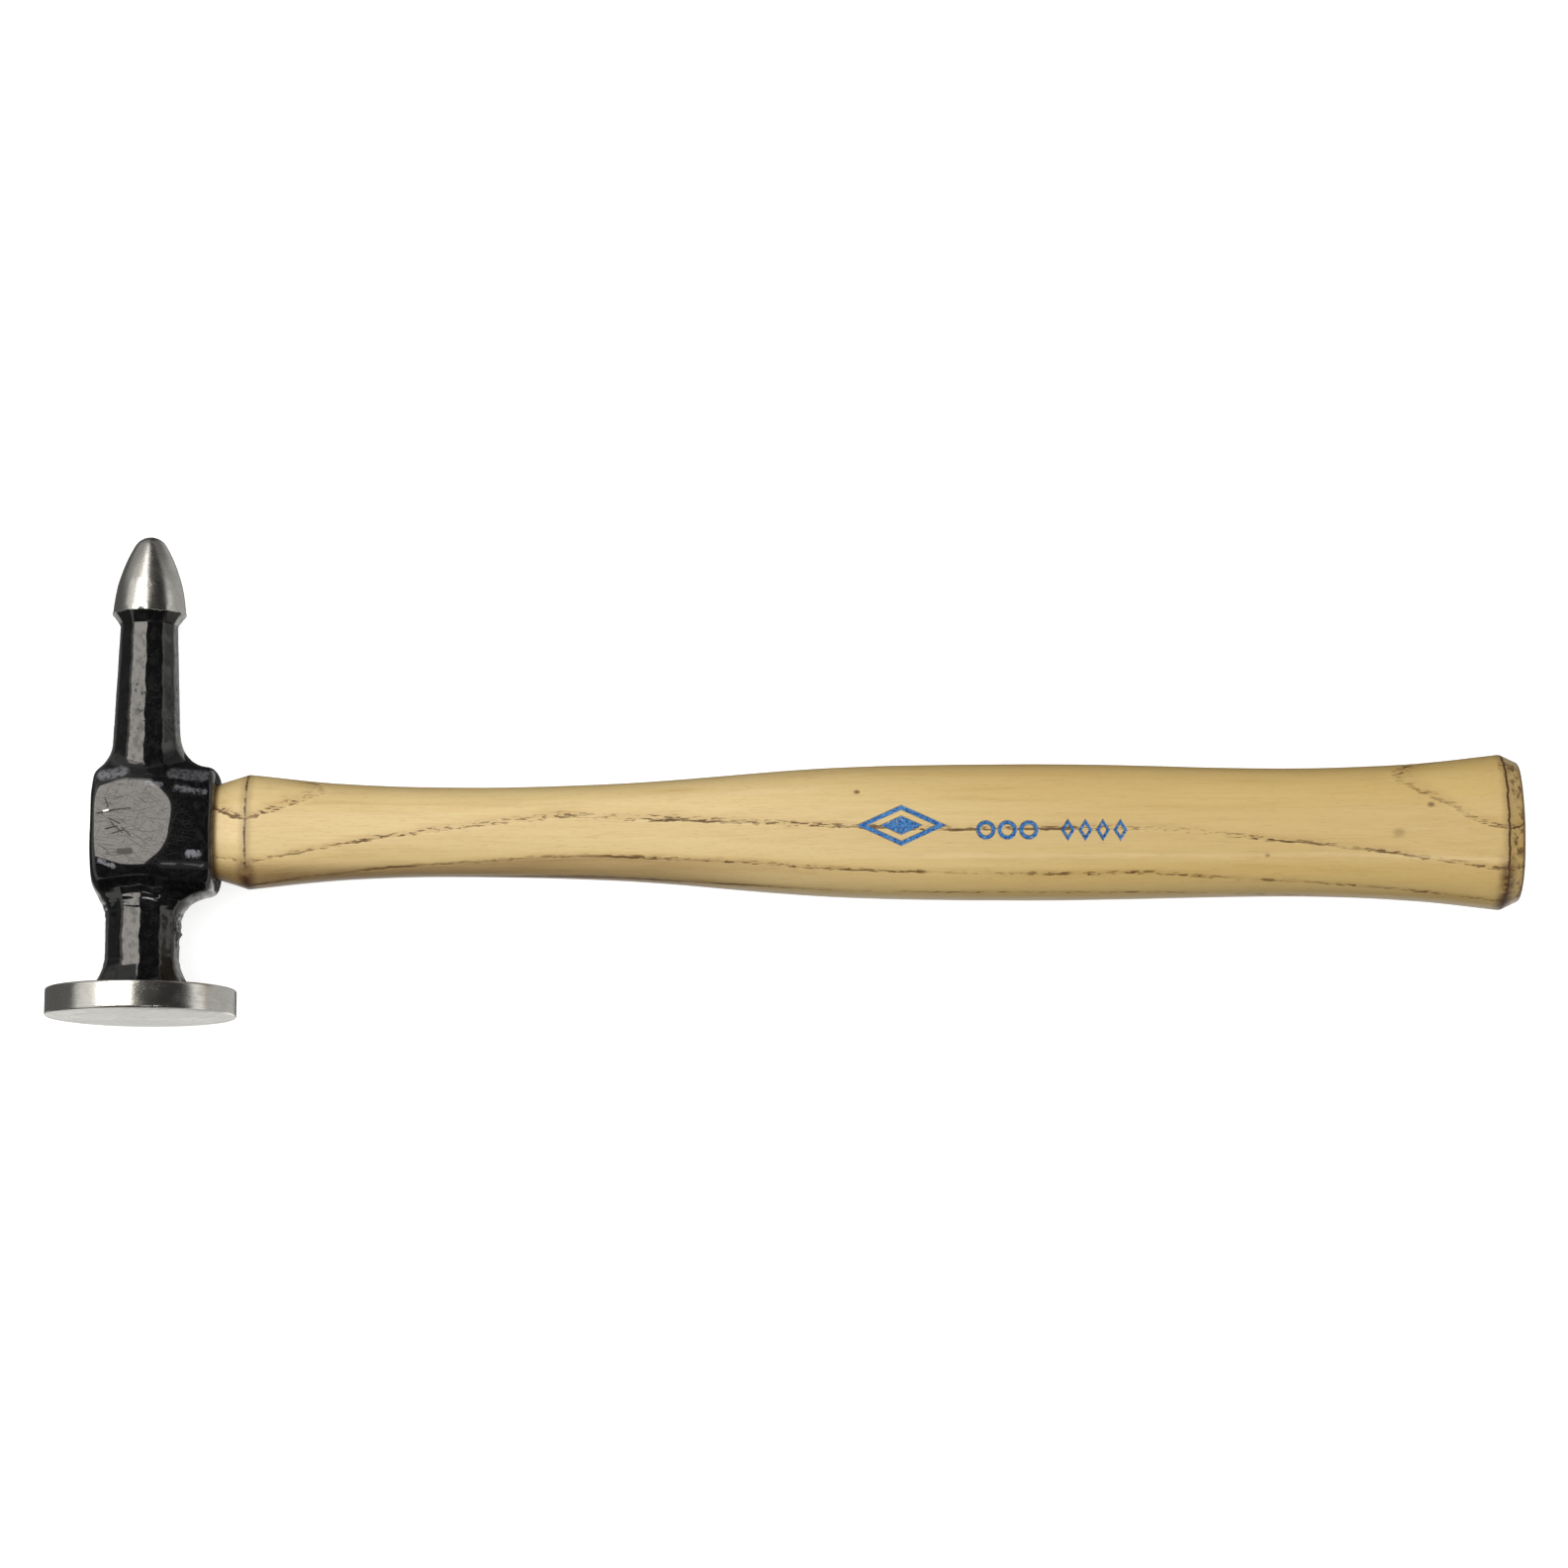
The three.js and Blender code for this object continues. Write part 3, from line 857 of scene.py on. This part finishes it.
def makeHead(material):
    rings, firstForged, forgedCount = headRings()
    forged = rings[firstForged:firstForged + forgedCount]
    fade = np.minimum(np.arange(forgedCount), np.arange(forgedCount)[::-1])
    height = forgingUnevenness(forged) * np.clip(fade / 6, 0, 1)[:, None]
    out = forged * (1, 0, 1)
    out /= np.linalg.norm(out, axis=-1, keepdims=True)
    rings[firstForged:firstForged + forgedCount] += out * height[..., None]
    piece = skin("head_forging", rings)
    hole = spread(-head["outerSide"] - 2, head["handleSide"] + 2, 40)
    carve(piece, "DIFFERENCE", [skin("hole", tenonRings(hole, eye["clearance"], 96))])
    finishPiece(piece, "head", material, 38)


def makeHandle(material):
    piece = skin("ash_handle", handleRings())
    carve(piece, "DIFFERENCE", [kerfBlock(eye["kerfDepth"], 0.0, 2.0), *slotBlocks()])
    finishPiece(piece, "handle", material, 40)


def makeWoodWedge(material):
    stations = spread(tenonEnd, head["handleSide"], 60)
    piece = skin("wood_wedge_blade", tenonRings(stations, 0.0, 120))
    blade = kerfBlock(eye["woodWedgeLength"], -eye["clearance"], 0.5)
    carve(piece, "INTERSECT", [blade])
    carve(piece, "DIFFERENCE", slotBlocks())
    finishPiece(piece, "wood_wedge", material, 40)


# A steel wedge: soft-cornered rectangles from its beaten outer end to its thin inner edge.
def makeSteelWedge(index, material):
    turns = spread(0, 2 * math.pi, 96)[:-1]
    length = eye["steelWedgeLength"]
    corner = eye["steelWedgeCorner"]
    deep, shallow, bevel = eye["steelWedgeBevel"]
    ease = spread(0, 1, 5)[:-1]
    blade = spread(bevel, length, 26)
    along = np.concatenate([0 * ease, bevel * ease, blade])
    inset = np.concatenate([deep + (shallow - deep) * ease, shallow * (1 - ease) ** 2, 0 * blade])
    share = along / length
    halfThick = (eye["steelWedgeThickness"] * (1 - share) + eye["steelWedgeEdge"] * share) / 2
    halfWide = np.full(along.shape, eye["steelWedgeWidth"] / 2)
    mushroom = eye["steelWedgeMushroom"] * hill(along - 0.5, 0.7)
    thin = np.maximum(halfThick - inset + mushroom, 0.08)
    wide = halfWide - inset + mushroom
    y = thin[:, None] * np.sign(np.cos(turns)) * np.abs(np.cos(turns)) ** corner
    z = wide[:, None] * np.sign(np.sin(turns)) * np.abs(np.sin(turns)) ** corner
    rings = np.stack([tenonEnd + along[:, None] + 0 * y, y + steelWedgePlace(index), z], axis=-1)
    beaten = lumps(rings, 1.3, 7 + index) * hill(along, 0.8)[:, None]
    rings[..., 0] += 0.12 * np.clip(beaten, 0, 1)
    rings[..., 1] += 0.03 * lumps(rings, 1.1, 9 + index)
    piece = skin(f"steel_wedge_{index + 1}_plate", rings)
    finishPiece(piece, f"steel_wedge_{index + 1}", material, 40)


lacquer = {
    "black": colour(0.0022, 0.0022, 0.0026),
    "roughness": 0.2,
    "coatRoughness": 0.05,
    "steel": colour(0.60, 0.59, 0.565),
    "steelDark": colour(0.36, 0.355, 0.34),
    "steelRoughness": 0.2,
    # Scratches on the upper cheek: from, to, width.
    "scratches": (
        ((-8.0, 2.3), (-4.5, 3.1), 0.30),
        ((-5.0, 3.05), (-1.3, 3.4), 0.20),
        ((-6.6, 5.6), (-5.9, 3.6), 0.16),
        ((-5.6, 1.2), (-3.4, 0.2), 0.22),
        ((-6.3, -0.9), (-3.9, -0.3), 0.26),
        ((-5.4, 0.6), (-2.9, -1.7), 0.20),
        ((-5.0, -1.9), (-2.6, -1.1), 0.20),
        ((-3.0, -0.6), (-1.3, -2.2), 0.16),
    ),
    # Painted sheen: lighter grey patches painted round the upper cheek where light reflects, the last two
    # as painted glints: from, to, width, strength.
    "paintedSheen": (
        ((-7.4, 10.7), (-3.4, 11.3), 1.9, 0.9),
        ((7.0, 11.0), (13.0, 10.6), 2.0, 0.4),
        ((2.0, 8.7), (4.6, 8.2), 0.9, 0.6),
        ((7.8, 7.6), (13.4, 7.0), 1.0, 0.55),
        ((-7.4, -7.4), (-4.6, -8.6), 0.8, 1.0),
        ((10.8, -5.9), (12.4, -5.9), 1.3, 1.0),
    ),
    "sheenGrey": colour(0.13, 0.13, 0.14),
    "smudge": ((-3.3, -5.6), (-1.3, -5.5), 1.1),
    "chip": ((-6.8, 2.8), (-5.9, 3.0), 0.24),
    "dullEdge": ((5.2, -8.2), (14.4, -8.2), 1.2),
    "drip": ((-0.7, pointBaseY - 1), (-0.6, pointBaseY + 0.25), 0.9),
    # A pitted spot on the bullet: along X, past the collar, size.
    "pitted": (1.2, 5.4, 1.0),
}


def makeLacqueredSteel():
    paint = Paint("lacquered_steel")
    x, y, z = paint.x, paint.y, paint.z
    radius = (x * x + z * z) ** 0.5
    ragged = paint.noise(1.1, 3.0, 0.6)

    # Where the steel is bare: the disc but for most of its back, and the bullet.
    backEdge = head["faceRadius"] - 2.0
    offBack = (radius + (ragged - 0.5) * 1.4).step(backEdge - 0.1, backEdge + 0.1)
    onDisc = y.step(faceBackY - 0.05, faceBackY - 0.2)
    nearDisc = y.step(faceBackY + 0.6, faceBackY + 0.4)
    drip = paint.stroke(*lacquer["drip"])
    edge = y + (ragged - 0.5) * 0.8 - drip * z.step(0.0, 1.0) * 0.6
    onBullet = edge.step(pointBaseY - 0.15, pointBaseY + 0.05)
    bare = onDisc.most(offBack * nearDisc).most(onBullet)

    # Marks in the lacquer: scratches, a smudge and a chip on the upper cheek, pits all over.
    onCheek = z.step(cheekToEye - 0.9, cheekToEye - 0.4)
    wander = (paint.noise(0.9, 1.0, 0.5, 3.0) - 0.5) * 0.35
    marks = paint.noise(0.45, 2.0, 0.6, 9.0).step(0.70, 0.76) * 0.5
    for start, end, width in lacquer["scratches"]:
        marks = marks.most(paint.stroke(start, end, width, wander))
    for turn, length, width in ((14, 4.0, 0.13), (68, 3.0, 0.12), (-35, 5.0, 0.14), (-8, 8.0, 0.16)):
        marks = marks.most(paint.scratches(turn, length, width, 0.64) * 0.8)
    smudge = paint.stroke(*lacquer["smudge"], wander) * 0.8
    chip = paint.stroke(*lacquer["chip"], wander) * onCheek
    marks = (marks.most(smudge) * onCheek).least(1.0)
    lowShank = y.between(17.0, 34.0, 4.0)
    pits = (paint.noise(0.75, 2.0, 0.6, 2.0) + lowShank * 0.06).step(0.65, 0.71) * (1 - onCheek)
    dulled = marks.most(pits * lowShank.most(paint.noise(6.0, 1.0, 0.5, 7.0).step(0.45, 0.6) * 0.6))
    worn = paint.noise(1.0, 4.0, 0.7, 15.0).step(0.45, 0.75)
    dulled = dulled.most(worn * (onCheek * 0.1).most(lowShank * 0.5))
    blotches = paint.noise((1.2, 1.8, 1.2), 2.0, 0.6, 17.0).step(0.42, 0.7) * (1 - onCheek) * 0.5
    dulled = dulled.most(blotches).most(paint.stroke(*lacquer["dullEdge"]) * 0.9)
    metal = bare.most(chip)
    # Painted sheen: the patches listed above are painted into the lacquer's colour as reflected light and
    # glints.
    paintedSheen = marks * 0.0
    for start, end, width, strength in lacquer["paintedSheen"]:
        paintedSheen = paintedSheen.most(paint.stroke(start, end, width, wander * 3.0) * strength)
    mottled = paint.noise(0.9, 3.0, 0.65, 18.0).step(0.30, 0.56)
    paintedSheen = paintedSheen * mottled * z.step(3.0, 5.0)

    # Grinding lines run round the disc's rim and the bullet, and as rings on the face.
    turnAngle = x.maths("ARCTAN2", z) * radius
    onFace = y.step(faceY + 0.75, faceY + 0.55)
    roundLines = paint.noise((12.0, 0.24, 1.0), 2.0, 0.6, 1.0, (turnAngle, y, z * 0.0))
    crossLines = paint.noise((2.4, 0.3, 1.0), 2.0, 0.6, 4.0, (turnAngle, y, z * 0.0))
    faceLines = paint.noise((30.0, 0.16, 1.0), 2.0, 0.6, 8.0, (turnAngle, radius, z * 0.0))
    lines = onFace.blend(roundLines * 0.6 + crossLines * 0.7 - 0.15, faceLines)
    pitX, pitAbove, pitSize = lacquer["pitted"]
    across = x - pitX
    above = y - pointBaseY - pitAbove
    pitted = ((across * across + above * above) ** 0.5).step(pitSize, pitSize / 2)
    pitted = pitted * z.step(3.0, 4.0) * paint.noise(0.35, 2.0, 0.6, 3.0).step(0.45, 0.6)
    stain = paint.noise((2.5, 2.5, 2.5), 3.0, 0.6, 6.0).step(0.35, 0.8)
    shade = (stain * 0.3).most(pitted * 0.7) + (lines - 0.45).most(0.0) * 1.1 + onBullet * 0.4
    steel = shade.least(1.0).colours(lacquer["steel"], lacquer["steelDark"])

    peel = paint.noise(1.4, 2.0, 0.5, 11.0) * 0.7 + paint.noise(0.5, 2.0, 0.5, 12.0) * 0.25
    paintBump = paint.bump(peel - dulled * 0.25, 0.026)
    steelBump = paint.bump(lines * (1 - onBullet * 0.73) - pitted * 0.35, 0.045)
    mixed = paint.node(
        "ShaderNodeMix", {"data_type": "VECTOR"}, {"Factor": metal, 4: paintBump, 5: steelBump}, 1
    )
    dulledBlackWithSheen = (dulled * 0.8).colours(lacquer["black"], colour(0.010, 0.0095, 0.009))
    # The painted sheen is mixed over the dulled black.
    dulledBlackWithSheen = paintedSheen.colours(dulledBlackWithSheen, lacquer["sheenGrey"])
    roughPaint = lacquer["roughness"] + dulled * 0.45
    roughSteel = lacquer["steelRoughness"] + (lines - 0.5) * 0.12 + stain * 0.08 + onBullet * 0.05
    return paint.finish({
        "Base Color": metal.colours(dulledBlackWithSheen, steel),
        "Metallic": metal,
        "Roughness": metal.blend(roughPaint, roughSteel),
        "Coat Weight": (1 - metal) * (1 - dulled * 0.85),
        "Coat Roughness": lacquer["coatRoughness"],
        "Specular IOR Level": 0.1,
        "Normal": mixed,
    })


ash = {
    "pale": colour(0.47, 0.355, 0.165),
    "warm": colour(0.40, 0.28, 0.10),
    "late": colour(0.30, 0.185, 0.062),
    "warmFrom": (110.0, 215.0),
    "lowerDarkBrown": colour(0.13, 0.066, 0.021),
    "pore": colour(0.085, 0.042, 0.010),
    "scorchAndShade": colour(0.05, 0.02, 0.007),
    "ringSpacing": 8.5,
    "ringStart": 2.0,
    "ringLean": 0.9,
    "frontBend": (90.0, 0.07, 0.001),
    "buttBend": (208.0, 0.11),
    "buttPeak": (234.5, 0.0039),
    "coat": 0.35,
    "coatRoughness": 0.17,
    # Small knots and spots: X, Y, width, depth of colour.
    "spots": (
        (147.4, 7.0, 1.1, 0.9),
        (265.2, 4.2, 1.3, 0.75),
        (258.5, -1.6, 2.2, 0.35),
        (231.6, -6.2, 0.9, 0.6),
    ),
}

foil = {
    "light": colour(0.075, 0.26, 0.56),
    "dark": colour(0.012, 0.05, 0.19),
    "outline": colour(0.03, 0.035, 0.045),
    "start": 147.2,
    "middle": -0.1,
    "low": -1.1,
    "lozenge": (9.3, 4.3),
    "rings": (171.6, 4.4, 3),
    "beads": (188.8, 3.6, 4),
}


# A plain pattern stamped in foil on the handle's upper side: a double lozenge, three rings
# and four beads.
def foilPattern(paint):
    x, y = paint.x, paint.y
    long, tall = foil["lozenge"]
    away = abs(x - foil["start"] - long) / long + abs(y - foil["middle"]) / tall
    pattern = abs(away - 0.87).step(0.16, 0.09).most(away.step(0.52, 0.42))
    start, pitch, count = foil["rings"]
    cell = (((x - start) / pitch).fraction() - 0.5) * pitch
    low = y - foil["low"]
    ring = abs((cell * cell + low * low) ** 0.5 - 1.55).step(0.56, 0.3)
    pattern = pattern.most(ring * x.between(start, start + count * pitch, 0.05))
    start, pitch, count = foil["beads"]
    cell = abs(((x - start) / pitch).fraction() - 0.5) * pitch
    bead = abs(cell / 1.5 + abs(low) / 2.4 - 0.72).step(0.34, 0.16)
    pattern = pattern.most(bead * x.between(start, start + count * pitch, 0.05))
    return pattern * paint.z.step(4.0, 5.0)


def makeAsh():
    paint = Paint("lacquered_ash")
    x, y, z = paint.x, paint.y, paint.z
    start, slope, curve = ash["frontBend"]
    towardsHead = (start - x.most(frontRidgeX)).most(0.0)
    wander = (paint.noise((30.0, 9.0, 9.0), 2.0, 0.5, 1.0) - 0.5) * 1.4
    ragged = (paint.noise((2.5, 0.7, 0.7), 2.0, 0.6, 2.0) - 0.5) * 1.0
    level = z + y * ash["ringLean"] + wander + ragged
    start, steepness = ash["buttBend"]
    steady = (x - start).most(0.0) * steepness
    start, steepness = ash["buttPeak"]
    peaked = (x - start).most(0.0)
    level = level + level.step(10.5, 15.0).blend(steady, peaked * peaked * steepness)
    level = level + towardsHead * slope + towardsHead * towardsHead * curve
    level = level + level.step(17.0, 12.0)
    level = level + x.step(110.0, 170.0) * level.between(-8.0, 7.0, 5.0) * 2.0
    ring = ((level - ash["ringStart"]) / ash["ringSpacing"] + 20.0).fraction()

    # Early wood: a thin line of large pores at the start of each ring, some of it run together.
    below = level.step(3.4, 1.6) * x.step(170.0, 70.0)
    line = ring.step(0.0, 0.02) * ring.step(0.16, 0.08)
    pores = paint.noise((1.9, 0.34, 0.34), 1.0, 0.5, 3.0).step(0.52, 0.58)
    strength = paint.noise((22.0, 5.0, 5.0), 2.0, 0.6, 4.0).step(0.33, 0.58)
    runTogether = ring.step(0.015, 0.035) * ring.step(below * 0.16 + 0.09, below * 0.12 + 0.06)
    together = paint.noise((14.0, 3.0, 3.0), 1.0, 0.5, 5.0).step(0.50, 0.60).most(below)
    strength = strength.most(below)
    dark = (line * pores * (strength * 0.65 + 0.35)).most(runTogether * together * strength * 0.95)
    smallPores = paint.noise((4.0, 0.16, 0.16), 1.0, 0.5, 6.0).step(0.64, 0.74) * 0.22
    fibres = paint.noise((18.0, 0.5, 0.5), 3.0, 0.6, 7.0)
    flecks = paint.noise((1.6, 0.5, 0.5), 3.0, 0.7, 16.0)
    streaks = paint.noise((60.0, 3.0, 3.0), 3.0, 0.6, 8.0)
    lateWood = ring.step(0.15, 1.0) * ring.step(1.0, 0.97)
    halo = ring.step(0.0, 0.03) * ring.step(0.3, 0.1) * (strength * 0.5 + 0.2)

    warmth = x.step(*ash["warmFrom"]) * 0.8 + (streaks - 0.42) * 0.9
    wood = warmth.most(0.0).least(1.0).colours(ash["pale"], ash["warm"])
    brown = lateWood * 0.15 + (fibres - 0.5).most(0.0) * 0.9 + (flecks - 0.52).most(0.0) * 0.8
    brown = (brown + halo * 0.5 + (streaks - 0.6).most(0.0) * 2.0).least(1.0)
    wood = brown.colours(wood, ash["late"])
    # Darker brown below the low ring line near the head, and painted shade along the lower edge near the
    # head.
    paintedLowEdgeShade = y.step(-6.5, -9.5) * x.step(110.0, 50.0) * (fibres * 0.6 + 0.5)
    wood = (below * (streaks * 0.8 + 0.2)).most(paintedLowEdgeShade * 0.85).least(1.0).colours(wood, ash["lowerDarkBrown"])
    wood = (dark.most(smallPores)).colours(wood, ash["pore"])
    spots = smallPores * 0.0
    for spotX, spotY, width, depth in ash["spots"]:
        across = (x - spotX) * 0.7
        up = y - spotY
        spot = (across * across + up * up) ** 0.5
        spots = spots.most(spot.step(width * 0.6, width * 0.15) * z.step(2.0, 4.0) * depth)
    wood = spots.colours(wood, ash["pore"])

    # Both ridges are scorched by the turning tool, worst on the side towards the face.
    uneven = paint.noise((3.0, 1.6, 1.6), 3.0, 0.6, 9.0)
    lowSide = y.step(-3.0, -11.0)
    scorchAndShade = spots * 0.0
    for ridgeX, firm in ((frontRidgeX, 0.35), (buttRidgeX, 0.95)):
        away = abs(x - ridgeX + (uneven - 0.5) * 0.8)
        ringLine = away.step(0.42, 0.14) * (uneven.step(0.25, 0.6) * (1 - firm) + firm)
        smoke = away.step(2.8, 0.0) * lowSide * (uneven.step(0.25, 0.55) * 0.6 + 0.4)
        tanned = away.step(1.9, 0.2) * 0.32
        scorchAndShade = scorchAndShade.most(ringLine).most(smoke).most(tanned)
    chamfer = x.step(buttRidgeX + 0.3, buttRidgeX + 0.9)
    blotch = paint.noise((1.2, 1.6, 1.6), 3.0, 0.65, 10.0)
    scorchAndShade = scorchAndShade.most(chamfer * (blotch.step(0.46, 0.68) * 0.65 + 0.2))
    # The butt's end is darkened, and a painted shadow darkens the handle where it goes into the eye.
    scorchAndShade = scorchAndShade.most(x.step(buttToEye - 1.0, buttToEye - 0.2) * 0.85)
    scorchAndShade = scorchAndShade.most(x.step(head["handleSide"] + 1.3, head["handleSide"] - 0.1) * 0.85)
    wood = scorchAndShade.least(1.0).colours(wood, ash["scorchAndShade"])

    stamped = foilPattern(paint)
    broken = paint.noise((0.7, 0.4, 0.4), 3.0, 0.7, 11.0)
    covered = stamped * broken.step(0.30, 0.40)
    shine = paint.noise((0.5, 0.35, 0.35), 2.0, 0.7, 12.0).step(0.35, 0.65)
    blue = shine.colours(foil["dark"], foil["light"])
    blue = stamped.step(0.95, 0.6).colours(blue, foil["outline"])
    wood = covered.colours(wood, blue)

    grain = paint.noise((7.0, 0.35, 0.35), 3.0, 0.6, 13.0)
    peel = paint.noise((1.6, 0.8, 0.8), 2.0, 0.5, 14.0)
    height = grain * 0.35 + peel * 0.4 - dark * 1.1 - stamped * 2.0 - covered * broken * 0.6
    return paint.finish({
        "Base Color": wood,
        "Metallic": covered * 0.55,
        "Roughness": covered.blend(fibres * 0.2 + 0.38, shine * -0.15 + 0.42),
        "Coat Weight": ash["coat"] - dark * 0.3 - scorchAndShade * 0.2,
        "Coat Roughness": ash["coatRoughness"],
        "Specular IOR Level": 0.2,
        "Normal": paint.bump(height, 0.035),
    })


beech = {
    "pale": colour(0.42, 0.26, 0.12),
    "dark": colour(0.20, 0.10, 0.04),
}


def makeBeech():
    paint = Paint("bare_beech")
    fibres = paint.noise((9.0, 0.35, 0.35), 3.0, 0.6)
    bands = paint.noise((30.0, 1.2, 6.0), 2.0, 0.5, 3.0)
    flecks = paint.noise((1.8, 0.18, 0.5), 1.0, 0.5, 5.0).step(0.62, 0.7)
    shade = (fibres * 0.6 + bands * 0.5 - 0.25).least(1.0).most(0.0)
    wood = (shade + flecks * 0.5).least(1.0).colours(beech["pale"], beech["dark"])
    return paint.finish({
        "Base Color": wood,
        "Roughness": 0.5 + fibres * 0.25,
        "Normal": paint.bump(fibres - flecks * 0.6, 0.06),
    })


wedgeSteel = {
    "bright": colour(0.46, 0.455, 0.44),
    "dull": colour(0.20, 0.19, 0.175),
}


def makeWedgeSteel():
    paint = Paint("wedge_steel")
    lines = paint.noise((6.0, 0.12, 0.12), 2.0, 0.6)
    grime = paint.noise(0.9, 3.0, 0.65, 2.0)
    beaten = paint.x.step(tenonEnd + 0.9, tenonEnd + 0.1)
    dents = paint.noise(0.55, 2.0, 0.5, 5.0)
    return paint.finish({
        "Base Color": grime.step(0.35, 0.7).colours(wedgeSteel["bright"], wedgeSteel["dull"]),
        "Metallic": 1.0,
        "Roughness": 0.3 + grime * 0.25,
        "Normal": paint.bump(lines * 0.3 + dents * beaten, 0.08),
    })


makeHead(makeLacqueredSteel())
makeHandle(makeAsh())
makeWoodWedge(makeBeech())
for wedgeIndex in range(eye["steelWedges"]):
    makeSteelWedge(wedgeIndex, makeWedgeSteel())

print("all pieces in place")
